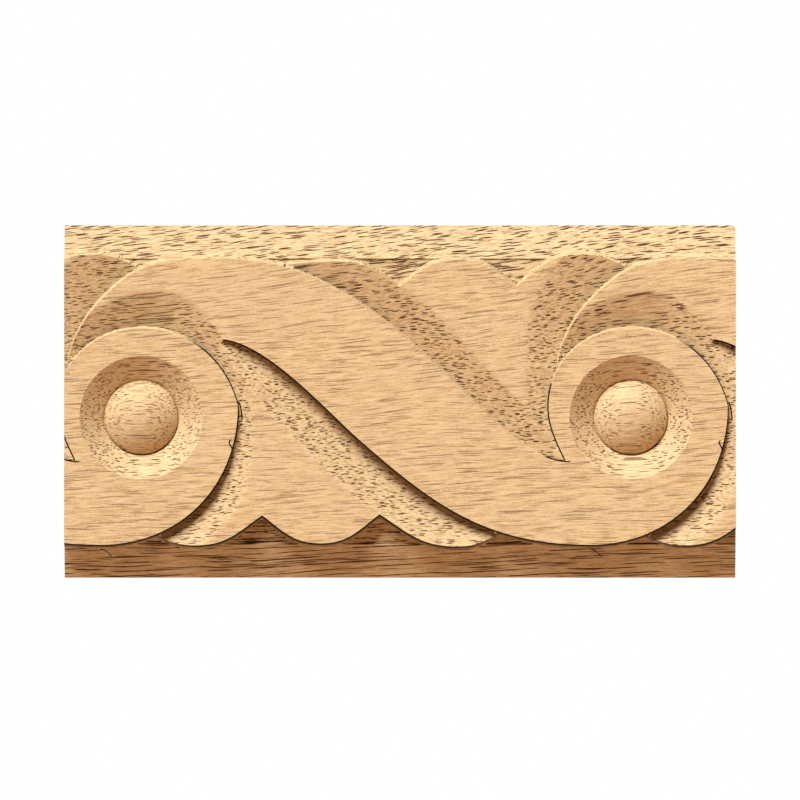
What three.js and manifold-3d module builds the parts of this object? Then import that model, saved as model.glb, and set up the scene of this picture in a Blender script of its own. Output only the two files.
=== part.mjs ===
// Carved running-scroll trim strip: one length of hardwood with a band that rolls from ring to ring
// between two lobed leaves, on a ground with a sloping border above and below.
// Millimetres. +X runs along the strip, +Z is up, the carved face looks along -Y, the flat back is y = 0.

import * as THREE from 'three';
import { mergeVertices } from 'three/addons/utils/BufferGeometryUtils.js';
import Module from 'manifold-3d';

// Overall sizes
const STRIP_LENGTH = 114.2;
const STRIP_WIDTH = 60;
const STRIP_THICKNESS = 12;

// Border: a plane that falls from an inner ridge beside the carving to the outer edge
const BORDER_HEIGHT = 5.65;
const BORDER_RIDGE_DEPTH = 2.8;
const BORDER_EDGE_DEPTH = 5.7;

// Pockets between the leaf lobes: shallow at their point, a little under the ridge at the border
const POCKET_POINT_DEPTH = 2.2;
const POCKET_STEP = 0.2;
const POCKET_STEP_RUN = 0.2;
const POCKET_REACH = 4.9;

// Running scroll
const REPEAT = 83.3;
const EYE_OFFSET = 39.3;
const EYE_SHARE = 0.444;
const WALL_DRAFT = 12;
const WALL_DEPTH = 3.4;
const DISH_RADIUS = 10.5;
const DISH_DEPTH = 2.3;
const BOSS_RADIUS = 6.35;

// Carved slopes beside the walls, as [share of the way along the wall, depth at its foot, width]
const SWEEP_TOP_SLOPE = [
  [0, 1.2, 5.0], [0.18, 2.0, 6.4], [0.4, 2.2, 6.8], [0.6, 2.1, 5.8], [0.78, 1.8, 5.4],
  [0.93, 0.7, 3.2], [1, 0.1, 0.6],
];
const SWEEP_FOOT_SLOPE = [
  [0, 0.9, 3.0], [0.08, 1.7, 5.5], [0.25, 2.5, 7.2], [0.6, 2.7, 8.0], [0.8, 2.5, 7.0],
  [1, 1.7, 4.6],
];
const CREST_SLOPE = [
  [0, 1.9, 9.5], [0.3, 1.9, 8.2], [0.45, 1.6, 6.9], [0.66, 0.9, 4.3], [0.93, 0.5, 2.2],
  [1, 0.1, 0.5],
];

// Skirt that falls all round to the ring, as [degrees about the eye, depth at the ring, width]
const RING_SKIRT = [
  [150, 0.7, 2.6], [118, 1.4, 4.5], [90, 2.0, 6.4], [72, 2.0, 6.9], [55, 1.6, 4.9],
  [30, 1.1, 3.0], [5, 0.9, 2.5], [-30, 1.4, 4.4], [-50, 1.9, 5.4], [-95, 1.9, 5.4],
];

// Lobes of the leaves: where the curve's handles stand between a notch and the round end beside it
const NOTCH_HANDLE_ALONG = 0.37;
const NOTCH_HANDLE_UP = 0.58;
const ROUND_HANDLE_ALONG = 0.47;

// Grid that the outlines are drawn on: units to one repeat along, and to the relief height up
const GRID_ALONG = 171;
const GRID_UP = 100;

// Working allowances
const CUT_CLEARANCE = 1;
const WALL_LAP = 0.3;
const END_LAP = 0.04;
const CURVE_STEP = 1.6;
const ROUND_SEGMENTS = 40;
const BOSS_RINGS = 8;

const reliefHeight = STRIP_WIDTH - 2 * BORDER_HEIGHT;
const reliefTop = STRIP_WIDTH / 2 - BORDER_HEIGHT;
const eyeHeight = EYE_SHARE * reliefHeight - reliefTop;

// Outline points are grid units from an eye: near is from this ring's eye, far from the next one's
const near = (along, up) => new THREE.Vector2(along * REPEAT / GRID_ALONG, up * reliefHeight / GRID_UP);
const far = (along, up) => near(GRID_ALONG + along, up);

// One curve through a start point and a row of [handle, handle, end] triples, as evenly spaced points
function outline(start, arcs) {
  const path = new THREE.CurvePath();
  let from = start;
  for (const [leave, arrive, end] of arcs) {
    path.add(new THREE.CubicBezierCurve(from, leave, arrive, end));
    from = end;
  }
  return path.getSpacedPoints(Math.ceil(path.getLength() / CURVE_STEP));
}

// Outer edge of the band from its pointed root on the ring up to the summit above the ring
const crestOutline = outline(near(-25.8, 15.6), [
  [near(-25.8, 24.5), near(-20.3, 34.5), near(-14.3, 40.8)],
  [near(-2.8, 53.1), near(5.8, 55.5), near(22.3, 55.5)],
]);

// Upper edge of the band from the summit down to the tip beside the next ring
const sweepTop = outline(near(22.3, 55.5), [
  [near(44.4, 55.5), near(54.7, 53.0), near(73.0, 41.7)],
  [near(91.2, 30.5), far(-64.8, 14.8), far(-49.2, 0.3)],
  [far(-42.2, -6.2), far(-32.0, -15.3), far(-22.0, -15.7)],
]);

// Lower edge of the band from its tip above the ring down to where it passes under the next ring
const sweepFoot = outline(near(28.6, 27.4), [
  [near(44.5, 25.5), near(64.3, 2.7), near(76.4, -8.0)],
  [far(-68.7, -30.8), far(-50.2, -44.4), far(-14.3, -44.4)],
]);

// The ring's edge winds inward from below the eye, past the right and the top, to the tip on the left
const ringEdge = outline(near(-14.3, -44.4), [
  [near(13.7, -44.4), near(33.7, -23.8), near(33.7, 4.1)],
  [near(29.8, 19.7), near(16.8, 31.1), near(0.3, 31.1)],
  [near(-16.3, 31.1), near(-28.8, 19.8), near(-28.8, 3.8)],
  [near(-28.8, -2.9), near(-25.8, -8.9), near(-23.0, -14.7)],
]);

// A row of leaf lobes; its points lie in turn on a notch between lobes and on a lobe's round end
function lobes(points) {
  const handles = (notch, round) => {
    const reach = round.clone().sub(notch);
    return [
      new THREE.Vector2(notch.x + NOTCH_HANDLE_ALONG * reach.x, notch.y + NOTCH_HANDLE_UP * reach.y),
      new THREE.Vector2(round.x - ROUND_HANDLE_ALONG * reach.x, round.y),
    ];
  };
  const rows = [];
  for (let i = 1; i + 1 < points.length; i += 2) {
    const [notch, round, nextNotch] = points.slice(i - 1, i + 2);
    const [leaveNotch, meetRound] = handles(notch, round);
    const [meetNotch, leaveRound] = handles(nextNotch, round);
    rows.push(outline(notch, [[leaveNotch, meetRound, round], [leaveRound, meetNotch, nextNotch]]));
  }
  return rows;
}

const upperLobes = lobes([near(49.2, 53.3), near(69.4, 54.4), far(-81.0, 45.5), far(-60.7, 55.1),
  far(-40.1, 45.7), far(-17.5, 56.9), far(-0.7, 52.2)]);
const lowerLobes = lobes([near(4.9, -41.3), near(18.9, -44.6), near(42.2, -34.1), near(62.5, -43.9),
  far(-87.8, -33.7), far(-60.8, -45.0), far(-45.4, -40.2)]);

// Points out of sight under the band and the ring, where the outlines of the crest and the leaves close
const underCrest = [near(45, 40), near(35, 10), near(0, 0)];
const underBand = [far(-45, -20), near(60, 25)];

// Plate with an upright outline, from the flat back to the front plane
function plate(points) {
  const settings = { depth: STRIP_THICKNESS, bevelEnabled: false };
  return new THREE.ExtrudeGeometry(new THREE.Shape(points), settings).rotateX(Math.PI / 2);
}

// Bar of constant section along the strip; the section's points are (y, z)
function bar(section, length) {
  const body = new THREE.ExtrudeGeometry(new THREE.Shape(section), { depth: length, bevelEnabled: false });
  body.translate(0, 0, -length / 2);
  return body.applyMatrix4(new THREE.Matrix4().makeBasis(
    new THREE.Vector3(0, 1, 0), new THREE.Vector3(0, 0, 1), new THREE.Vector3(1, 0, 0)));
}

// Closed body through a row of sections, each with the same count of points
function loft(sections) {
  const count = sections[0].length;
  const faces = [];
  for (let i = 0; i + 1 < sections.length; i += 1) {
    for (let j = 0; j < count; j += 1) {
      const a = i * count + j;
      const b = i * count + ((j + 1) % count);
      faces.push(a, b, b + count, a, b + count, a + count);
    }
  }
  const last = (sections.length - 1) * count;
  for (let j = 1; j + 1 < count; j += 1) {
    faces.push(0, j + 1, j, last, last + j, last + j + 1);
  }
  const geometry = new THREE.BufferGeometry();
  geometry.setAttribute('position', new THREE.BufferAttribute(
    new Float32Array(sections.flat().flatMap((point) => point.toArray())), 3));
  geometry.setIndex(faces);
  return geometry;
}

// Direction square to an outline at each point, to the left of the way it runs (1) or the right (-1)
function normals(points, side) {
  return points.map((point, i) => {
    const before = points[Math.max(i - 1, 0)];
    const after = points[Math.min(i + 1, points.length - 1)];
    const along = after.clone().sub(before).normalize();
    return new THREE.Vector2(-along.y * side, along.x * side);
  });
}

const placed = (point, normal, away, depth) => new THREE.Vector3(
  point.x + normal.x * away, depth - STRIP_THICKNESS, point.y + normal.y * away);

// Leaning face of a wall: a wedge along the edge that stands out further the deeper it goes
function wallFace(points, side) {
  const out = normals(points, side);
  const foot = WALL_DEPTH * Math.tan(THREE.MathUtils.degToRad(WALL_DRAFT));
  const longer = [...points];
  longer[0] = points[0].clone().lerp(points[1], -END_LAP);
  longer[points.length - 1] = points.at(-1).clone().lerp(points.at(-2), -END_LAP);
  const sections = longer.map((point, i) => [
    placed(point, out[i], 0, 0), placed(point, out[i], foot, WALL_DEPTH),
    placed(point, out[i], -WALL_LAP, WALL_DEPTH), placed(point, out[i], -WALL_LAP, 0),
  ]);
  return loft(side > 0 ? sections.reverse() : sections);
}

// Depth and width of a slope at a place between two of its stations
function between(stations, at) {
  const way = Math.sign(stations.at(-1)[0] - stations[0][0]);
  const next = stations.findIndex(([place], i) => i > 0 && (place - at) * way >= 0);
  const [a, b] = next < 0 ? stations.slice(-2) : [stations[next - 1], stations[next]];
  const share = THREE.MathUtils.clamp((at - a[0]) / (b[0] - a[0]), 0, 1);
  return [THREE.MathUtils.lerp(a[1], b[1], share), THREE.MathUtils.lerp(a[2], b[2], share)];
}

// Cutter for a slope that rises from the foot of a wall to the front plane
function slopeCutter(points, side, stations, placeOf) {
  const out = normals(points, side);
  const sections = points.map((point, i) => {
    const [depth, width] = between(stations, placeOf(point, i / (points.length - 1)));
    return [
      placed(point, out[i], -WALL_LAP / 2, -CUT_CLEARANCE), placed(point, out[i], width, -CUT_CLEARANCE),
      placed(point, out[i], width, 0), placed(point, out[i], -WALL_LAP / 2, depth),
    ];
  });
  return loft(side > 0 ? sections.reverse() : sections);
}

// Body turned about an axis through the eye; the profile's points are (radius, depth below the front plane)
function turned(profile) {
  const points = profile.map(([radius, depth]) => new THREE.Vector2(radius, STRIP_THICKNESS - depth));
  return new THREE.LatheGeometry(points, ROUND_SEGMENTS).rotateX(Math.PI);
}

// Round hollow with a sloping side, and the low dome that stands in it up to the front plane
function dish() {
  const flare = CUT_CLEARANCE * (DISH_RADIUS - BOSS_RADIUS) / DISH_DEPTH;
  return turned([
    [0, DISH_DEPTH], [BOSS_RADIUS, DISH_DEPTH], [DISH_RADIUS + flare, -CUT_CLEARANCE], [0, -CUT_CLEARANCE],
  ]);
}

function boss() {
  const sphere = (BOSS_RADIUS ** 2 + DISH_DEPTH ** 2) / (2 * DISH_DEPTH);
  const profile = [[0, DISH_DEPTH + CUT_CLEARANCE], [BOSS_RADIUS, DISH_DEPTH + CUT_CLEARANCE]];
  for (let i = 0; i <= BOSS_RINGS; i += 1) {
    const radius = BOSS_RADIUS * Math.cos((i / BOSS_RINGS) * Math.PI / 2);
    profile.push([i < BOSS_RINGS ? radius : 0, sphere - Math.sqrt(sphere ** 2 - radius ** 2)]);
  }
  return turned(profile);
}

const wasm = await Module();
wasm.setup();

function toSolid(geometry) {
  const bare = geometry.clone();
  bare.deleteAttribute('normal');
  bare.deleteAttribute('uv');
  const merged = mergeVertices(bare, 1e-5);
  return new wasm.Manifold(new wasm.Mesh({
    numProp: 3,
    vertProperties: new Float32Array(merged.attributes.position.array),
    triVerts: new Uint32Array(merged.index.array),
  }));
}

// Every ring whose band or leaves reach into the strip, as the place of its eye along it
const firstRing = Math.floor((-STRIP_LENGTH / 2 - EYE_OFFSET) / REPEAT) - 1;
const lastRing = Math.ceil((STRIP_LENGTH / 2 - EYE_OFFSET) / REPEAT);
const eyes = [];
for (let ring = firstRing; ring <= lastRing; ring += 1) {
  eyes.push(EYE_OFFSET + ring * REPEAT);
}

// One solid of the given bodies repeated at every ring
function atEveryRing(...bodies) {
  return wasm.Manifold.union(eyes.flatMap((x) => bodies.map((body) => {
    const solid = toSolid(body.clone().translate(x, 0, eyeHeight));
    if (solid.volume() <= 0) throw new Error('a body is inside out');
    return solid;
  })));
}

// The strip before the carving: the two borders and the pocket floors, which run on from end to end
function blank() {
  const sectionPoint = (depth, height) => new THREE.Vector2(depth - STRIP_THICKNESS, height);
  const side = (way) => [
    sectionPoint(BORDER_EDGE_DEPTH, way * STRIP_WIDTH / 2),
    sectionPoint(BORDER_RIDGE_DEPTH, way * reliefTop),
    sectionPoint(BORDER_RIDGE_DEPTH + POCKET_STEP, way * (reliefTop - POCKET_STEP_RUN)),
    sectionPoint(POCKET_POINT_DEPTH, way * (reliefTop - POCKET_REACH)),
  ];
  const back = [new THREE.Vector2(0, -STRIP_WIDTH / 2), new THREE.Vector2(0, STRIP_WIDTH / 2)];
  return toSolid(bar([...back, ...side(1), ...side(-1).reverse()], STRIP_LENGTH));
}

// Leaves and crest first, then their slopes, then the walls, the band and the ring, which stand over them
function carvedStrip() {
  const ring = plate(ringEdge);
  const band = plate([...sweepTop, ...[...sweepFoot].reverse()]);
  const crest = plate([...crestOutline, ...underCrest]);
  const upperLeaf = plate([...upperLobes.flat(), sweepTop.at(-1), ...underBand]);
  const lowerLeaf = plate([...lowerLobes.flat(), ...underBand, sweepFoot[0], near(0, 0)]);
  const upperWalls = upperLobes.map((row) => wallFace(row, 1));
  const lowerWalls = lowerLobes.map((row) => wallFace(row, -1));

  const leafStart = upperLobes[0][0].x;
  const leafEnd = lowerLobes.at(-1).at(-1).x;
  const crestMeetsLobe = upperLobes.at(-1).at(-1).y;
  const ringTop = ringEdge.findIndex((point) => point.x < 0 && point.y > crestOutline[0].y);
  const ringLeft = ringEdge.filter((point, i) => i > ringTop && point.y < crestOutline[0].y);
  const crestRun = [...crestOutline.filter((point) => point.y < crestMeetsLobe).reverse(), ...ringLeft];
  const turnOf = (point) => THREE.MathUtils.radToDeg(Math.atan2(point.y, point.x));
  const [skirtStart, skirtEnd] = [RING_SKIRT[0][0], RING_SKIRT.at(-1)[0]];
  const skirtRun = ringEdge.filter((point) => turnOf(point) > skirtEnd && turnOf(point) < skirtStart);
  const alongRun = (point, share) => share;

  const strip = blank()
    .add(atEveryRing(ring, band, crest, upperLeaf, lowerLeaf, ...upperWalls, ...lowerWalls))
    .subtract(atEveryRing(
      slopeCutter(sweepTop.filter((point) => point.x > leafStart), 1, SWEEP_TOP_SLOPE, alongRun),
      slopeCutter(sweepFoot.filter((point) => point.x < leafEnd), -1, SWEEP_FOOT_SLOPE, alongRun),
      slopeCutter(crestRun, -1, CREST_SLOPE, alongRun),
    ))
    .add(atEveryRing(wallFace(crestOutline, 1)))
    .subtract(atEveryRing(slopeCutter(skirtRun, -1, RING_SKIRT, turnOf)))
    .add(atEveryRing(ring, band, wallFace(ringEdge, -1), wallFace(sweepTop, 1), wallFace(sweepFoot, -1)))
    .subtract(atEveryRing(dish()))
    .add(atEveryRing(boss()))
    .intersect(toSolid(new THREE.BoxGeometry(STRIP_LENGTH, 2 * STRIP_THICKNESS, STRIP_WIDTH)));

  const { vertProperties, triVerts } = strip.getMesh();
  const geometry = new THREE.BufferGeometry();
  geometry.setAttribute('position', new THREE.BufferAttribute(vertProperties, 3));
  geometry.setIndex(new THREE.BufferAttribute(triVerts, 1));
  geometry.computeVertexNormals();
  const wood = new THREE.MeshStandardMaterial({ color: 0xdcb68a, roughness: 0.7, metalness: 0 });
  const mesh = new THREE.Mesh(geometry, wood);
  mesh.name = 'carved_strip';
  return mesh;
}

const trim = new THREE.Group();
trim.add(carvedStrip());

export default trim;
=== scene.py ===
import math
from functools import partial

import bpy
import numpy as np
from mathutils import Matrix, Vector
from mathutils.geometry import delaunay_2d_cdt


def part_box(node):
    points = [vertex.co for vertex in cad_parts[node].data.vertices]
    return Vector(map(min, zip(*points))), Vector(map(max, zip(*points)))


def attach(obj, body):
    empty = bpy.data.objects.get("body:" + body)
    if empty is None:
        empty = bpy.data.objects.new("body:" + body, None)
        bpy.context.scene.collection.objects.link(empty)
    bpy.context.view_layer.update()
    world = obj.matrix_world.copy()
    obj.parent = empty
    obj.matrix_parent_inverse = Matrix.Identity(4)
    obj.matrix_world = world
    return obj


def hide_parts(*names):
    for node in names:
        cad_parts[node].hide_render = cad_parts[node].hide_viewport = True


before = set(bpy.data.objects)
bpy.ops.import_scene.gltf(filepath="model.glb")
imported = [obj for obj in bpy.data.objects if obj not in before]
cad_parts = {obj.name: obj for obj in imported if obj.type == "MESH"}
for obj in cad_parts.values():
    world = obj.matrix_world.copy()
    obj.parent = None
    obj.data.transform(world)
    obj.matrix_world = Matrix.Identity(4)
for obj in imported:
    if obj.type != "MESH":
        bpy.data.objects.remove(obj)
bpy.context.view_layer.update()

# The carved strip
# One length of light open-pored hardwood, cut in relief on the face by shaped cutters. A band rolls from
# ring to ring between two lobed leaves, and a border slopes away above and below. The strip is glued and
# pinned by its flat back.
MM_IN_METRE = 1000
low, high = (Vector(corner) * MM_IN_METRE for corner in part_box("carved_strip"))
LENGTH, THICKNESS, WIDTH = high - low

BORDER_HEIGHT = 5.65
REPEAT = 83.3
EYE_OFFSET = 39.3
EYE_SHARE = 0.444
relief_height = WIDTH - 2 * BORDER_HEIGHT
relief_top = relief_height / 2
eye_height = EYE_SHARE * relief_height - relief_top
first_ring = math.floor((-LENGTH / 2 - EYE_OFFSET) / REPEAT) - 1
last_ring = math.ceil((LENGTH / 2 - EYE_OFFSET) / REPEAT)
eyes = [np.array([EYE_OFFSET + ring * REPEAT, eye_height]) for ring in range(first_ring, last_ring + 1)]

# Grid that the outlines are drawn on: units to one repeat along, and to the relief's height up
GRID_ALONG = 171
GRID_UP = 100


def near(along, up):
    """A point on the grid, counted from the eye of a ring."""
    return np.array([along * REPEAT / GRID_ALONG, up * relief_height / GRID_UP])


def far(along, up):
    """A point on the grid, counted from the eye of the next ring."""
    return near(GRID_ALONG + along, up)


LINE_STEP = 0.3
ARC_POINTS = 200


def even(line):
    """The same line with its points the same distance apart."""
    run = np.r_[0, np.cumsum(np.linalg.norm(np.diff(line, axis=0), axis=1))]
    places = np.linspace(0, run[-1], max(2, math.ceil(run[-1] / LINE_STEP)) + 1)
    return np.c_[np.interp(places, run, line[:, 0]), np.interp(places, run, line[:, 1])]


def outline(start, *arcs):
    """A line through cubic arcs, each given by its two handles and its end."""
    share = np.linspace(0, 1, ARC_POINTS)[:, None]
    rows = []
    for leave, arrive, end in arcs:
        rows.append((1 - share) ** 3 * start + 3 * (1 - share) ** 2 * share * leave
                    + 3 * (1 - share) * share ** 2 * arrive + share ** 3 * end)
        start = end
    return even(np.concatenate(rows))


# Handles of a lobe's arcs at a notch and at the round end, as shares of the way between the two
LOBE_SIDE = (0.37, 0.58)
LOBE_ROUND = (0.47, 0)


def lobes(*points):
    """Leaf lobes through points that lie in turn on a notch and on a round end."""
    rows = []
    for i in range(1, len(points) - 1, 2):
        notch, tip, next_notch = points[i - 1:i + 2]
        leave = notch + (tip - notch) * LOBE_SIDE
        meet = next_notch + (tip - next_notch) * LOBE_SIDE
        before = tip - (tip - notch) * LOBE_ROUND
        after = tip - (tip - next_notch) * LOBE_ROUND
        rows.append(outline(notch, (leave, before, tip), (after, meet, next_notch)))
    return rows


crest_outline = outline(near(-25.8, 15.6), (near(-25.8, 24.5), near(-20.3, 34.5), near(-14.3, 40.8)),
                        (near(-2.8, 53.1), near(5.8, 55.5), near(22.3, 55.5)))
sweep_top = outline(near(22.3, 55.5), (near(44.4, 55.5), near(54.7, 53.0), near(73.0, 41.7)),
                    (near(91.2, 30.5), far(-64.8, 14.8), far(-49.2, 0.3)),
                    (far(-42.2, -6.2), far(-32.0, -15.3), far(-22.0, -15.7)))
sweep_foot = outline(near(28.6, 27.4), (near(44.5, 25.5), near(64.3, 2.7), near(76.4, -8.0)),
                     (far(-68.7, -30.8), far(-50.2, -44.4), far(-14.3, -44.4)))
ring_edge = outline(near(-14.3, -44.4), (near(13.7, -44.4), near(33.7, -23.8), near(33.7, 4.1)),
                    (near(29.8, 19.7), near(16.8, 31.1), near(0.3, 31.1)),
                    (near(-16.3, 31.1), near(-28.8, 19.8), near(-28.8, 3.8)),
                    (near(-28.8, -2.9), near(-25.8, -8.9), near(-23.0, -14.7)))
upper_lobes = lobes(near(49.2, 53.3), near(69.4, 54.4), far(-81.0, 45.5), far(-60.7, 55.1),
                    far(-40.1, 45.7), far(-17.5, 56.9), far(-0.7, 52.2))
lower_lobes = lobes(near(4.9, -41.3), near(18.9, -44.6), near(42.2, -34.1), near(62.5, -43.9),
                    far(-87.8, -33.7), far(-60.8, -45.0), far(-45.4, -40.2))

root = crest_outline[0]
ring_left = ring_edge[(np.arange(len(ring_edge)) > len(ring_edge) // 2) & (ring_edge[:, 0] < 0)
                      & (ring_edge[:, 1] < root[1])]
crest_side = crest_outline[crest_outline[:, 1] < upper_lobes[-1][-1, 1]]
next_crest_run = even(np.concatenate([crest_side[::-1], ring_left])) + (REPEAT, 0)

# Closed shapes, each run on below its neighbours so that no gap is left between them
band_shape = np.concatenate([sweep_top, sweep_foot[::-1]])
crest_shape = np.concatenate([crest_outline, [near(45, 40), sweep_foot[0], near(0, 0)]])
upper_shape = np.concatenate([*upper_lobes, next_crest_run, [sweep_top[-1], far(-45, -20), near(60, 25)]])
lower_shape = np.concatenate([*lower_lobes, [far(-45, -20), near(60, 25), sweep_foot[0], near(0, 0)]])

SPOTS_AT_ONCE = 4000
TINY = 1e-12


def nearest(spots, line):
    """How far each spot is from a line, and the share of the way along it of the nearest point."""
    ways = np.diff(line, axis=0)
    lengths = np.linalg.norm(ways, axis=1)
    before = np.r_[0, np.cumsum(lengths)[:-1]]
    gaps = np.empty(len(spots))
    shares = np.empty(len(spots))
    for first in range(0, len(spots), SPOTS_AT_ONCE):
        part = slice(first, first + SPOTS_AT_ONCE)
        reach = spots[part, None, :] - line[None, :-1, :]
        along = np.clip((reach * ways).sum(2) / lengths ** 2, 0, 1)
        apart = np.linalg.norm(reach - along[:, :, None] * ways, axis=2)
        best = apart.argmin(1)
        rows = np.arange(len(best))
        gaps[part] = apart[rows, best]
        shares[part] = (before[best] + along[rows, best] * lengths[best]) / lengths.sum()
    return gaps, shares


def inside(spots, shape):
    """Which spots lie inside a closed shape."""
    a, b = shape, np.roll(shape, -1, axis=0)
    rise = np.where(b[:, 1] == a[:, 1], TINY, b[:, 1] - a[:, 1])
    result = np.empty(len(spots), bool)
    for first in range(0, len(spots), SPOTS_AT_ONCE):
        part = slice(first, first + SPOTS_AT_ONCE)
        x, y = (spots[part, i, None] for i in (0, 1))
        crosses = (a[:, 1] > y) != (b[:, 1] > y)
        left = x < a[:, 0] + (y - a[:, 1]) / rise * (b[:, 0] - a[:, 0])
        result[part] = (crosses & left).sum(1) % 2 == 1
    return result


# Slopes beside the walls: share of the way along the wall, depth at its foot, width of the slope
SWEEP_TOP_SLOPE = [
    (0, 1.2, 5.0), (0.18, 2.0, 6.4), (0.4, 2.2, 6.8), (0.6, 2.1, 5.8), (0.78, 1.8, 5.4),
    (0.93, 0.7, 3.2), (1, 0.1, 0.6)]
SWEEP_FOOT_SLOPE = [
    (0, 0.9, 3.0), (0.08, 1.7, 5.5), (0.25, 2.5, 7.2), (0.6, 2.7, 8.0), (0.8, 2.5, 7.0),
    (1, 1.7, 4.6)]
CREST_SLOPE = [
    (0, 1.9, 9.5), (0.3, 1.9, 8.2), (0.45, 1.6, 6.9), (0.66, 0.9, 4.3), (0.93, 0.5, 2.2),
    (1, 0.1, 0.5)]
# The skirt round a ring: degrees about the eye, depth at the ring, width of the slope
RING_SKIRT = [
    (-95, 1.9, 5.4), (-50, 1.9, 5.4), (-30, 1.4, 4.4), (5, 0.9, 2.5), (30, 1.1, 3.0),
    (55, 1.6, 4.9), (72, 2.0, 6.9), (90, 2.0, 6.4), (118, 1.4, 4.5), (150, 0.7, 2.6)]

turns = np.degrees(np.arctan2(ring_edge[:, 1], ring_edge[:, 0]))
skirt_run = even(ring_edge[(turns > RING_SKIRT[0][0]) & (turns < RING_SKIRT[-1][0])])
top_run = even(sweep_top[sweep_top[:, 0] > upper_lobes[0][0, 0]])
foot_run = even(sweep_foot[sweep_foot[:, 0] < lower_lobes[-1][-1, 0]])


def slope(spots, line, stations, places=None):
    """Depth of a slope that is deepest at the foot of a wall and runs out at its own width."""
    gap, share = nearest(spots, line)
    places = share if places is None else places
    marks, depths, widths = zip(*stations)
    depth = np.interp(places, marks, depths)
    width = np.interp(places, marks, widths)
    return np.where(share > 0, np.maximum(0, depth * (1 - gap / width)), 0)


WALL_DRAFT = math.radians(12)


def wall(gap, within):
    """Depth of the wall that falls away round a shape, at a distance from its edge."""
    return np.where(within, 0, gap / math.tan(WALL_DRAFT))


def offset(line, side, gap):
    """A line beside another, at its own distance from each point; side 1 is the left of the way it runs."""
    way = np.gradient(line, axis=0)
    way /= np.linalg.norm(way, axis=1)[:, None]
    return line + side * np.broadcast_to(gap, len(line))[:, None] * np.c_[-way[:, 1], way[:, 0]]


def circle(radius, first=0, last=360, count=180):
    """A circle round an eye, or a stretch of it between two angles in degrees."""
    turn = np.radians(np.linspace(first, last, count + 1))
    return radius * np.c_[np.cos(turn), np.sin(turn)]


# The eye of each ring: a dished hollow, a domed boss in it and a shallow groove round the boss's foot
DISH_RADIUS = 10.5
DISH_DEPTH = 2.3
BOSS_RADIUS = 6.35
BOSS_GROOVE_REACH = 0.2
BOSS_GROOVE_DEPTH = 0.18


def hollow(radius):
    """Depth of the dish, boss and groove at a distance from the eye."""
    sphere = (BOSS_RADIUS ** 2 + DISH_DEPTH ** 2) / (2 * DISH_DEPTH)
    dome = sphere - np.sqrt(np.maximum(sphere ** 2 - np.minimum(radius, BOSS_RADIUS) ** 2, 0))
    side = DISH_DEPTH * (DISH_RADIUS - radius) / (DISH_RADIUS - BOSS_RADIUS)
    groove = BOSS_GROOVE_DEPTH * np.clip(1 - np.abs(radius - BOSS_RADIUS) / BOSS_GROOVE_REACH, 0, 1)
    return np.where(radius < BOSS_RADIUS, dome, np.maximum(side, 0)) + groove


# Fine cuts in each repeat: a line scored along the lower edge of the boss, three slips of the cutter's
# point, and lines scored along the lower left of the ring and the end of the band
SLIP_REACH = 0.12
SLIP_DEPTH = 0.3
scored_ring = ring_left[ring_left[:, 1] < near(0, 12)[1]]
scored_band = sweep_top[sweep_top[:, 0] > far(-30, 0)[0]]
slips = [
    circle(BOSS_RADIUS, -122, -40, 30),
    outline(near(-14.2, -45.9), (near(-13.4, -46.0), near(-12.2, -46.3), near(-10.6, -48.3))),
    outline(near(34.2, 5.2), (near(34.7, 4.0), near(35.1, 2.0), near(35.2, -0.6))),
    outline(near(30.9, -8.2), (near(30.2, -9.0), near(31.4, -9.8), near(31.6, -10.6))),
    offset(scored_ring, -1, SLIP_REACH),
    offset(scored_band, 1, SLIP_REACH)]

# The borders slope back from a ridge, and the pockets behind the lobes fall from a point to a small step
BORDER_RIDGE_DEPTH = 2.8
BORDER_EDGE_DEPTH = 5.7
POCKET_POINT_DEPTH = 2.2
POCKET_STEP = 0.2
POCKET_STEP_RUN = 0.2
POCKET_REACH = 4.9


def ground(spots):
    """Depth of the pocket floors and the two borders."""
    return np.interp(
        np.abs(spots[:, 1]),
        [relief_top - POCKET_REACH, relief_top - POCKET_STEP_RUN, relief_top, WIDTH / 2],
        [POCKET_POINT_DEPTH, BORDER_RIDGE_DEPTH + POCKET_STEP, BORDER_RIDGE_DEPTH, BORDER_EDGE_DEPTH])


# How far one repeat reaches to the left of its eye, and past the next eye
REACH_BEFORE = 20
REACH_PAST = 5


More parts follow.
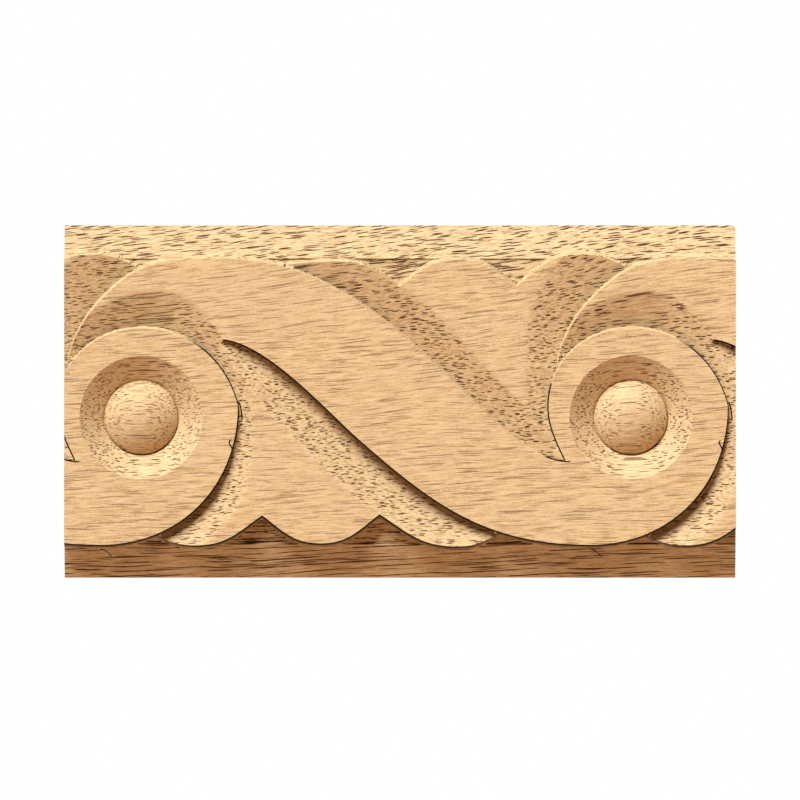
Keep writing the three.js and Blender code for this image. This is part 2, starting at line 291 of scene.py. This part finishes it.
def carving(spots):
    """Depth of the carved face below the front plane."""
    raised = np.full(len(spots), np.inf)
    covered = np.zeros(len(spots), bool)
    dish = np.zeros(len(spots))
    slip = np.zeros(len(spots))
    for eye in eyes:
        close = (spots[:, 0] > eye[0] - REACH_BEFORE) & (spots[:, 0] < eye[0] + REPEAT + REACH_PAST)
        if not close.any():
            continue
        local = spots[close] - eye
        turn = np.degrees(np.arctan2(local[:, 1], local[:, 0]))
        skirt = slope(local, skirt_run, RING_SKIRT, turn)
        beside_foot = slope(local, foot_run, SWEEP_FOOT_SLOPE)
        beside_top = slope(local, top_run, SWEEP_TOP_SLOPE)
        beside_crest = slope(local, next_crest_run, CREST_SLOPE)
        lower_edge = np.min([nearest(local, row)[0] for row in lower_lobes], axis=0)
        upper_edge = np.min([nearest(local, row)[0] for row in upper_lobes], axis=0)
        band_edge = np.minimum(nearest(local, sweep_top)[0], nearest(local, sweep_foot)[0])
        in_ring = inside(local, ring_edge)
        in_band = inside(local, band_shape)
        in_crest = inside(local, crest_shape)
        in_lower = inside(local, lower_shape)
        in_upper = inside(local, upper_shape)
        lowest = np.min([
            wall(nearest(local, ring_edge)[0], in_ring),
            wall(band_edge, in_band),
            wall(nearest(local, crest_outline)[0], in_crest) + skirt,
            np.maximum(skirt, beside_foot) + wall(lower_edge, in_lower),
            np.maximum(beside_top, beside_crest) + wall(upper_edge, in_upper),
        ], axis=0)
        raised[close] = np.minimum(raised[close], lowest)
        covered[close] |= in_ring | in_band | in_crest | in_lower | in_upper
        dish[close] = np.maximum(dish[close], hollow(np.linalg.norm(local, axis=1)))
        for line in slips:
            gap = nearest(local, line)[0]
            slip[close] = np.maximum(slip[close], SLIP_DEPTH * np.clip(1 - gap / SLIP_REACH, 0, 1))
    depth = np.where(covered, raised, np.minimum(ground(spots), raised))
    return np.maximum(depth, dish) + slip


# The foot of a wall is worked out from the depth at two distances from its edge
FIRST_PROBE = 0.9
PROBE_STEP = 0.5
LEAST_WALL = 0.2


def feet(line, side, eye):
    """The foot of the wall below an edge, and where the wall is high enough to have one."""
    lean = math.tan(WALL_DRAFT)
    probes = (FIRST_PROBE, FIRST_PROBE + PROBE_STEP)
    here, further = (carving(offset(line, side, gap) + eye) for gap in probes)
    fall = (here - further) / PROBE_STEP
    gap = lean * (here + fall * FIRST_PROBE) / (1 + lean * fall)
    return offset(line, side, gap), here > LEAST_WALL


half = np.array([LENGTH / 2, WIDTH / 2])
points = []
edges = []


def crossing(inner, outer):
    """Where the way from a point on the strip to one beyond it meets the strip's outer edge."""
    reach = outer - inner
    shares = [
        (math.copysign(half[k], reach[k]) - inner[k]) / reach[k]
        for k in (0, 1) if abs(outer[k]) > half[k]]
    spot = inner + min(shares) * reach
    axis = 0 if abs(outer[0]) > half[0] else 1
    spot[axis] = math.copysign(half[axis], outer[axis])
    return spot


def add_line(line, keep=None):
    """Adds the stretches of a line that lie on the strip, cut where they leave it."""
    keep = np.ones(len(line), bool) if keep is None else keep
    on = (np.abs(line[:, 0]) < half[0]) & (np.abs(line[:, 1]) < half[1])
    last = None
    for i in range(len(line)):
        if on[i] and keep[i]:
            points.append(line[i])
            here = len(points) - 1
            if last is not None:
                edges.append((last, here))
            elif i > 0 and keep[i - 1] and not on[i - 1]:
                points.append(crossing(line[i], line[i - 1]))
                edges.append((here, here + 1))
            last = here
        else:
            if last is not None and keep[i] and not on[i]:
                points.append(crossing(line[i - 1], line[i]))
                edges.append((last, len(points) - 1))
            last = None


corners = [(-1, -1), (1, -1), (1, 1), (-1, 1)]
for corner in corners:
    points.append(half * corner)
edges += [(0, 1), (1, 2), (2, 3), (3, 0)]
walled_edges = [
    (ring_edge, -1), (sweep_top, 1), (sweep_foot, -1), (crest_outline, 1),
    *((row, 1) for row in upper_lobes), *((row, -1) for row in lower_lobes)]
eye_circles = [DISH_RADIUS, BOSS_RADIUS + BOSS_GROOVE_REACH, BOSS_RADIUS, BOSS_RADIUS - BOSS_GROOVE_REACH]
for eye in eyes:
    for line, side in walled_edges:
        add_line(line + eye)
        foot, high_enough = feet(line, side, eye)
        add_line(foot + eye, high_enough)
    for radius in eye_circles:
        add_line(circle(radius) + eye)
    for line in slips:
        for gap in (-SLIP_REACH, 0, SLIP_REACH):
            add_line(offset(line, 1, gap) + eye)
for height in (relief_top, relief_top - POCKET_STEP_RUN):
    for side in (-1, 1):
        across = np.linspace(-half[0], half[0], 2 * round(half[0] / LINE_STEP))
        across = across[1:-1]
        add_line(np.c_[across, np.full(len(across), side * height)])

# Between the lines the face is filled with a grid of points, none of them in one square with a line's point
MESH_STEP = 0.5
CLEAR_SQUARE = 0.25
MERGE_REACH = 1e-5
columns = round(LENGTH / MESH_STEP)
rows = round(WIDTH / MESH_STEP)
across, up = np.meshgrid(
    np.linspace(-half[0], half[0], columns + 1), np.linspace(-half[1], half[1], rows + 1))
grid = np.c_[across.ravel(), up.ravel()]
line_squares, grid_squares = (
    [tuple(square) for square in np.floor(spots / CLEAR_SQUARE).astype(int)]
    for spots in (np.array(points), grid))
taken = set(line_squares)
open_spots = [spot for spot, square in zip(grid, grid_squares) if square not in taken]
spots = [Vector(p) for p in [*points, *open_spots]]
flat, _, faces, *_ = delaunay_2d_cdt(spots, edges, [], 0, MERGE_REACH)
flat = np.array([tuple(p) for p in flat])
depths = carving(flat)


def facing_front(face):
    """The same face with its corners in the order that turns it to the viewer."""
    a, b, c = (flat[i] for i in face[:3])
    turn = (b[0] - a[0]) * (c[1] - a[1]) - (b[1] - a[1]) * (c[0] - a[0])
    return tuple(face) if turn > 0 else tuple(face)[::-1]


verts = np.c_[flat[:, 0], depths - THICKNESS, flat[:, 1]]
faces = [facing_front(face) for face in faces]

# The flat back and the four sides, which go round in the order of the corners
RIM_REACH = 1e-4
sides = [(1, -1, 1), (0, 1, 1), (1, 1, -1), (0, -1, -1)]
back = len(verts)
verts = np.r_[verts, [[corner[0] * half[0], 0, corner[1] * half[1]] for corner in corners]]
faces.append((back, back + 3, back + 2, back + 1))
for k, (axis, end, run) in enumerate(sides):
    rim = np.flatnonzero(np.abs(flat[:, axis] - end * half[axis]) < RIM_REACH)
    rim = rim[np.argsort(run * flat[rim, 1 - axis])]
    faces.append((*(int(i) for i in rim[::-1]), back + k, back + (k + 1) % len(corners)))

mesh = bpy.data.meshes.new("carved_strip_face")
mesh.from_pydata([tuple(v / MM_IN_METRE) for v in verts], [], faces)
mesh.validate()


def mark(name, domain, values):
    """Keeps a number on each point or face, for the wood's finish and the splinters."""
    attribute = mesh.attributes.new(name, "FLOAT", domain)
    attribute.data.foreach_set("value", np.asarray(values, float))


# How rough the cutter left the wood, from 0 on the sanded face: bosses, dishes, slopes, borders, pockets
BOSS_CUT, DISH_CUT, SLOPE_CUT, BORDER_CUT, POCKET_CUT = 0.5, 0.75, 1.0, 1.2, 2.4
SANDED_DEPTH = 0.15
on_ground = np.isclose(depths, ground(flat))
in_border = np.abs(flat[:, 1]) > relief_top - POCKET_STEP_RUN
from_eye = np.min([np.linalg.norm(flat - eye, axis=1) for eye in eyes], axis=0)
in_dish = from_eye < DISH_RADIUS
roughness = np.clip(depths / SANDED_DEPTH, 0, SLOPE_CUT)
roughness[in_dish] = np.minimum(roughness[in_dish], DISH_CUT)
roughness[from_eye < BOSS_RADIUS - BOSS_GROOVE_REACH] = BOSS_CUT
roughness[on_ground] = np.where(in_border, BORDER_CUT, POCKET_CUT)[on_ground]
mark("cut", "POINT", np.r_[roughness, np.full(len(corners), BORDER_CUT)])

# The walls that face away from the lamp, down and to the right, get painted shade, a near-black colour, and
# so do the walls of the slips
STEEP = 0.55
facing = np.array([polygon.normal for polygon in mesh.polygons])
centres = np.array([polygon.center for polygon in mesh.polygons])[:, (0, 2)] * MM_IN_METRE
carved = np.arange(len(facing)) < len(facing) - len(sides) - 1
steep = (np.abs(facing[:, 1]) < STEEP) & carved
mark("wall", "FACE", steep)

SHADED_SIDE = math.radians(-60)
SHADED_SPREAD = math.radians(106)
SHADED_FADE = 0.35
LEAST_TURN = 1e-6
turned = facing[:, 0] * math.cos(SHADED_SIDE) + facing[:, 2] * math.sin(SHADED_SIDE)
turned /= np.maximum(np.hypot(facing[:, 0], facing[:, 2]), LEAST_TURN)
wall_shade = np.clip((turned - math.cos(SHADED_SPREAD)) / SHADED_FADE, 0, 1)
in_slip = np.any([nearest(centres, line + eye)[0] < SLIP_REACH for line in slips for eye in eyes], axis=0)
wall_shade[in_slip] = 1

# A ring's wall gets the painted shade from higher up, between these degrees above and below its eye
SHADED_RING_START = 62
SHADED_RING_FADE = 14
SHADED_RING_REACH = 0.7
for eye in eyes:
    around = centres - eye
    angle = np.degrees(np.arctan2(around[:, 1], around[:, 0]))
    beside_ring = steep & (np.abs(angle) < SHADED_RING_START)
    beside_ring[beside_ring] = nearest(around[beside_ring], ring_edge)[0] < SHADED_RING_REACH
    ring_shade = np.clip((SHADED_RING_START - angle) / SHADED_RING_FADE, 0, 1)
    wall_shade = np.maximum(wall_shade, ring_shade * beside_ring)
# The painted shade is kept on the steep faces only
mark("rubbed", "FACE", steep * wall_shade)

# The cutter lifted splinters on the deeper parts of the slopes, and none stands near the sawn ends
SPLINTER_DEPTH = 0.5
SPLINTER_MARGIN = 1.5
clear_of_ends = np.abs(flat[:, 0]) < half[0] - SPLINTER_MARGIN
torn = (roughness == SLOPE_CUT) & (depths > SPLINTER_DEPTH) & clear_of_ends
torn = np.r_[torn, np.zeros(len(corners), bool)]
all_torn = np.array([torn[list(polygon.vertices)].all() for polygon in mesh.polygons])
mark("can_splinter", "FACE", all_torn & ~steep)

CREASE = math.radians(28)
for polygon in mesh.polygons:
    polygon.use_smooth = True
mesh.set_sharp_from_angle(angle=CREASE)
strip = bpy.data.objects.new("carved_strip_wood", mesh)
bpy.context.scene.collection.objects.link(strip)


class Wire:
    """One output of a node; arithmetic on it adds the maths nodes."""

    def __init__(self, tree, socket):
        self.tree = tree
        self.socket = socket

    def maths(self, operation, other):
        return add_node(self.tree, "ShaderNodeMath", {"operation": operation}, {0: self, 1: other})

    def __add__(self, other):
        return self.maths("ADD", other)

    __radd__ = __add__

    def __mul__(self, other):
        return self.maths("MULTIPLY", other)

    __rmul__ = __mul__

    def __sub__(self, other):
        return self.maths("SUBTRACT", other)

    def __rsub__(self, other):
        return (self * -1) + other

    def ramp(self, start, end):
        """0 below start, 1 above end, smooth between."""
        return add_node(self.tree, "ShaderNodeMapRange", {"interpolation_type": "SMOOTHSTEP"}, {
            0: self, 1: start, 2: end, 3: 0, 4: 1})


def plug(tree, socket, value):
    """Joins a wire to a socket, or sets the socket's own value."""
    if isinstance(value, Wire):
        tree.links.new(value.socket, socket)
    else:
        socket.default_value = value


def add_node(tree, kind, settings, sockets, output=0):
    """Adds a node, makes its settings, then fills its sockets, and gives one of its outputs."""
    node = tree.nodes.new(kind)
    for name, value in settings.items():
        setattr(node, name, value)
    for name, value in sockets.items():
        for one in value if isinstance(value, list) else [value]:
            plug(tree, node.inputs[name], one)
    return Wire(tree, node.outputs[output]) if node.outputs else None


class Finish:
    """A material under construction."""

    def __init__(self, name):
        self.material = bpy.data.materials.new(name)
        self.material.use_nodes = True
        self.tree = self.material.node_tree
        self.shader = self.tree.nodes["Principled BSDF"]

    def node(self, kind, settings, sockets, output=0):
        return add_node(self.tree, "ShaderNode" + kind, settings, sockets, output)

    def mix(self, factor, under, over):
        """One colour laid over another where the factor is 1."""
        settings = {"data_type": "RGBA", "clamp_factor": True}
        return self.node("Mix", settings, {0: factor, 6: under, 7: over}, 2)

    def parts(self, vector):
        """The three numbers of a vector."""
        return [self.node("SeparateXYZ", {}, {0: vector}, axis) for axis in range(3)]

    def joined(self, *parts):
        """A vector of three numbers."""
        return self.node("CombineXYZ", {}, dict(enumerate(parts)))


# The grain, in millimetres: it rises along the strip, fans and curves to the edges, dives and sways
GRAIN_RISE = 0.06
GRAIN_FAN = 0.002
GRAIN_CURVE = 0.00005
GRAIN_DIVE = 0.035
GRAIN_SWAY = 3
wood = Finish("light_hardwood")
place = wood.node("TexCoord", {}, {}, "Object")
along, inward, up = (part * MM_IN_METRE for part in wood.parts(place))
rise = up - along * (up * up * GRAIN_CURVE + up * GRAIN_FAN + GRAIN_RISE)
dive = inward + along * GRAIN_DIVE


def grain(counts, detail, roughness=0.5):
    """A pattern that follows the grain, by its count to a millimetre along, across and into the wood."""
    stretched = wood.joined(*(way * count for way, count in zip((along, rise, dive), counts)))
    return wood.node("TexNoise", {}, {
        "Vector": stretched, "Scale": 1.0, "Detail": detail, "Roughness": roughness})


rise = rise + grain((0.03, 0.05, 0.05), 2) * GRAIN_SWAY
fibres = grain((0.24, 7.0, 5.5), 2, 0.6)
bands = grain((0.02, 0.25, 0.25), 3)
streaks = grain((0.3, 2.6, 2.6), 2, 0.6)
lengths_of_pore = grain((0.15, 1.6, 1.2), 1)
speckles = grain((2.2, 4.0, 4.0), 1)
PORES_ACROSS = 3.0
PORES_INWARD = 2.3
from_pore = wood.node("TexVoronoi", {"voronoi_dimensions": "2D", "feature": "F1"}, {
    "Vector": wood.joined(rise * PORES_ACROSS, dive * PORES_INWARD, 0), "Scale": 1.0, "Randomness": 1.0})

cut = wood.node("Attribute", {"attribute_name": "cut"}, {}, "Fac")
wall_face = wood.node("Attribute", {"attribute_name": "wall"}, {}, "Fac")
# Painted shade, marked on the walls turned from the lamp, on the slips and on the splinters
rubbed = wood.node("Attribute", {"attribute_name": "rubbed"}, {}, "Fac")

# Where each pattern shows: the two values between which it comes in
FIBRE_EDGE = (0.36, 0.6)
BAND_EDGE = (0.35, 0.65)
SPECKLE_EDGE = (0.4, 0.6)
SCUFF_EDGE = (0.38, 0.48)
TEAR_EDGE = (0.38, 0.44)
PORE_EDGE = (0.21, 0.27)
PORE_LENGTH_EDGE = (0.46, 0.54)
PAINTED_SHADE_DEPTHS = (0.7, 2.4)

# A rough cut opens the pores wider and longer, and the painted shade on a wall thins towards its foot
PORE_WIDENING = 0.02
PORE_LENGTHENING = 0.045
PAINTED_SHADE_LOSS = 0.6
opening = cut.maths("MINIMUM", BORDER_CUT)
pores = (1 - (from_pore - opening * PORE_WIDENING).ramp(*PORE_EDGE)) * (
    lengths_of_pore + opening * PORE_LENGTHENING).ramp(*PORE_LENGTH_EDGE)
raw = cut.ramp(SLOPE_CUT, POCKET_CUT) * (1 - wall_face)
scuffed = cut.ramp(DISH_CUT, SLOPE_CUT) * (1 - wall_face) * (1 - streaks.ramp(*SCUFF_EDGE))
shade_on_wall = 1 - (inward + THICKNESS).ramp(*PAINTED_SHADE_DEPTHS) * PAINTED_SHADE_LOSS

DARK_FIBRE = (0.33, 0.19, 0.085, 1)
LIGHT_FIBRE = (0.54, 0.395, 0.22, 1)
# Laid over the fibres in turn: where, how strong, and the colour
layers = [
    (bands.ramp(*BAND_EDGE), 0.3, (0.47, 0.345, 0.20, 1)),
    (speckles.ramp(*SPECKLE_EDGE), 0.35, (0.60, 0.44, 0.235, 1)),
    (raw, 0.15, (0.30, 0.15, 0.06, 1)),
    (scuffed, 0.3, (0.20, 0.09, 0.035, 1)),
    (raw * (1 - streaks.ramp(*TEAR_EDGE)), 0.8, (0.06, 0.02, 0.006, 1)),
    (pores, cut * 0.45 + 0.5, (0.05, 0.013, 0.003, 1)),
    # Painted shade: near black on the marked faces, strongest at the top of a wall
    (rubbed, shade_on_wall, (0.008, 0.003, 0.001, 1))]
colour = wood.mix(fibres.ramp(*FIBRE_EDGE), DARK_FIBRE, LIGHT_FIBRE)
for where, strength, over in layers:
    colour = wood.mix(where * strength, colour, over)
plug(wood.tree, wood.shader.inputs["Base Color"], colour)
wood.shader.inputs["Roughness"].default_value = 0.7
wood.shader.inputs["Specular IOR Level"].default_value = 0.12
FIBRE_RELIEF = 0.2
relief = wood.node("Bump", {}, {
    "Strength": 0.5, "Distance": 0.0001, "Height": fibres * FIBRE_RELIEF - pores})
plug(wood.tree, wood.shader.inputs["Normal"], relief)

# Splinters that the cutter lifted on the slopes: short dark slivers, rooted in the wood and leaning out
SPLINTER_SIDES = 5
LEAN_FROM = (0, math.radians(60), math.radians(-28))
LEAN_TO = (0, math.radians(120), math.radians(-10))
splinter_sizes = {
    "Number to a square metre": ("Float", 9000.0),
    "Length": ("Float", 0.0009),
    "Thickness": ("Float", 0.00016),
    "Seed": ("Int", 7),
    "Wood": ("Material", wood.material)}
lifting = bpy.data.node_groups.new("lifted_splinters", "GeometryNodeTree")
for way in ("OUTPUT", "INPUT"):
    lifting.interface.new_socket("Geometry", in_out=way, socket_type="NodeSocketGeometry")
chosen = {}
for name, (kind, value) in splinter_sizes.items():
    socket = lifting.interface.new_socket(name, in_out="INPUT", socket_type="NodeSocket" + kind)
    chosen[socket.identifier] = value
modifier = strip.modifiers.new("splinters", "NODES")
modifier.node_group = lifting
for identifier, value in chosen.items():
    modifier[identifier] = value

step = partial(add_node, lifting)
given = {socket.name: Wire(lifting, socket) for socket in lifting.nodes.new("NodeGroupInput").outputs}
torn_here = step("GeometryNodeInputNamedAttribute", {"data_type": "FLOAT"}, {"Name": "can_splinter"})
roots = step("GeometryNodeDistributePointsOnFaces", {}, {
    "Mesh": given["Geometry"], "Selection": torn_here, "Density": given["Number to a square metre"],
    "Seed": given["Seed"]})
bare_roots = step("GeometryNodeRemoveAttribute", {"pattern_mode": "WILDCARD"}, {
    "Geometry": roots, "Name": "*"})
sliver = step("GeometryNodeMeshCone", {}, {
    "Vertices": SPLINTER_SIDES, "Radius Bottom": given["Thickness"] * 0.5, "Depth": given["Length"]})
# Each sliver carries the painted shade in full, so it comes out nearly black
dark = step("GeometryNodeStoreNamedAttribute", {"data_type": "FLOAT", "domain": "FACE"}, {
    "Geometry": sliver, "Name": "rubbed", "Value": 1.0})
lean = step("FunctionNodeRandomValue", {"data_type": "FLOAT_VECTOR"}, {"Min": LEAN_FROM, "Max": LEAN_TO})
slivers = step("GeometryNodeInstanceOnPoints", {}, {
    "Points": bare_roots, "Instance": dark, "Rotation": lean})
both = step("GeometryNodeJoinGeometry", {}, {"Geometry": [given["Geometry"], slivers]})
whole = step("GeometryNodeRealizeInstances", {}, {"Geometry": both})
finished = step("GeometryNodeSetMaterial", {}, {"Geometry": whole, "Material": given["Wood"]})
step("NodeGroupOutput", {}, {"Geometry": finished})

view = bpy.context.evaluated_depsgraph_get()
splintered = bpy.data.meshes.new_from_object(
    strip.evaluated_get(view), preserve_all_data_layers=True, depsgraph=view)
strip.modifiers.clear()
strip.data = splintered
bpy.data.meshes.remove(mesh)

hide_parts("carved_strip")
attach(strip, "root")

# The room
# A plain pale floor far below the strip, a soft lamp from above on the left, a warm glow from below and a
# dim lamp behind, in a pale room. The camera looks straight at the carved face, as the photograph does.
FLOOR_RADIUS = 0.4
FLOOR_HEIGHT = -1.0
FLOOR_SIDES = 64
floor_mesh = bpy.data.meshes.new("floor")
floor_turns = [2 * math.pi * side / FLOOR_SIDES for side in range(FLOOR_SIDES)]
floor_rim = [(FLOOR_RADIUS * math.cos(a), FLOOR_RADIUS * math.sin(a), FLOOR_HEIGHT) for a in floor_turns]
floor_mesh.from_pydata(floor_rim, [], [tuple(range(FLOOR_SIDES))])
floor = bpy.data.objects.new("floor", floor_mesh)
bpy.context.scene.collection.objects.link(floor)
paint = Finish("pale_floor")
paint.shader.inputs["Base Color"].default_value = (0.8, 0.8, 0.78, 1)
paint.shader.inputs["Roughness"].default_value = 0.9
floor_mesh.materials.append(paint.material)

# Each lamp: its strength, how wide it spreads in degrees, the way towards it, and its colour
LAMPS = {
    "key": (8.2, 32, (-0.62, -1.0, 1.6), (1.0, 1.0, 0.99)),
    "bounce": (2.4, 50, (0.3, -0.8, -1.2), (1.0, 0.57, 0.31)),
    "rear": (3.0, 50, (0.4, 1.0, 0.5), (1.0, 0.97, 0.93))}
for name, (strength, spread, toward, lamp_colour) in LAMPS.items():
    lamp = bpy.data.lights.new(name, "SUN")
    lamp.energy = strength
    lamp.angle = math.radians(spread)
    lamp.color = lamp_colour
    lamp_object = bpy.data.objects.new(name, lamp)
    bpy.context.scene.collection.objects.link(lamp_object)
    lamp_object.rotation_euler = Vector(toward).to_track_quat("Z", "Y").to_euler()

# The room is white where the camera sees it, and lights the strip with a faint warm glow
world = bpy.data.worlds.new("room")
bpy.context.scene.world = world
world.use_nodes = True
room = world.node_tree
room.nodes.clear()
glow = add_node(room, "ShaderNodeBackground", {}, {"Color": (1.0, 0.74, 0.52, 1), "Strength": 0.03})
white = add_node(room, "ShaderNodeBackground", {}, {"Color": (1, 1, 1, 1), "Strength": 1.0})
seen = add_node(room, "ShaderNodeLightPath", {}, {}, "Is Camera Ray")
choice = add_node(room, "ShaderNodeMixShader", {}, {0: seen, 1: glow, 2: white})
add_node(room, "ShaderNodeOutputWorld", {}, {"Surface": choice})

# The camera stands where a long lens fills the photograph's square, at its scale
PHOTO_SCALE = 0.17
PHOTO_SIDE = 800
PHOTO_MIDDLE = 0.26
LENS = 800
SENSOR = 36
lens = bpy.data.cameras.new("camera")
lens.lens = LENS
lens.sensor_width = SENSOR
camera = bpy.data.objects.new("camera", lens)
bpy.context.scene.collection.objects.link(camera)
distance = PHOTO_SCALE * PHOTO_SIDE * LENS / SENSOR
camera.location = (0, -(THICKNESS + distance) / MM_IN_METRE, PHOTO_MIDDLE / MM_IN_METRE)
camera.rotation_euler = (math.pi / 2, 0, 0)
bpy.context.scene.camera = camera
bpy.context.scene.view_settings.view_transform = "Standard"
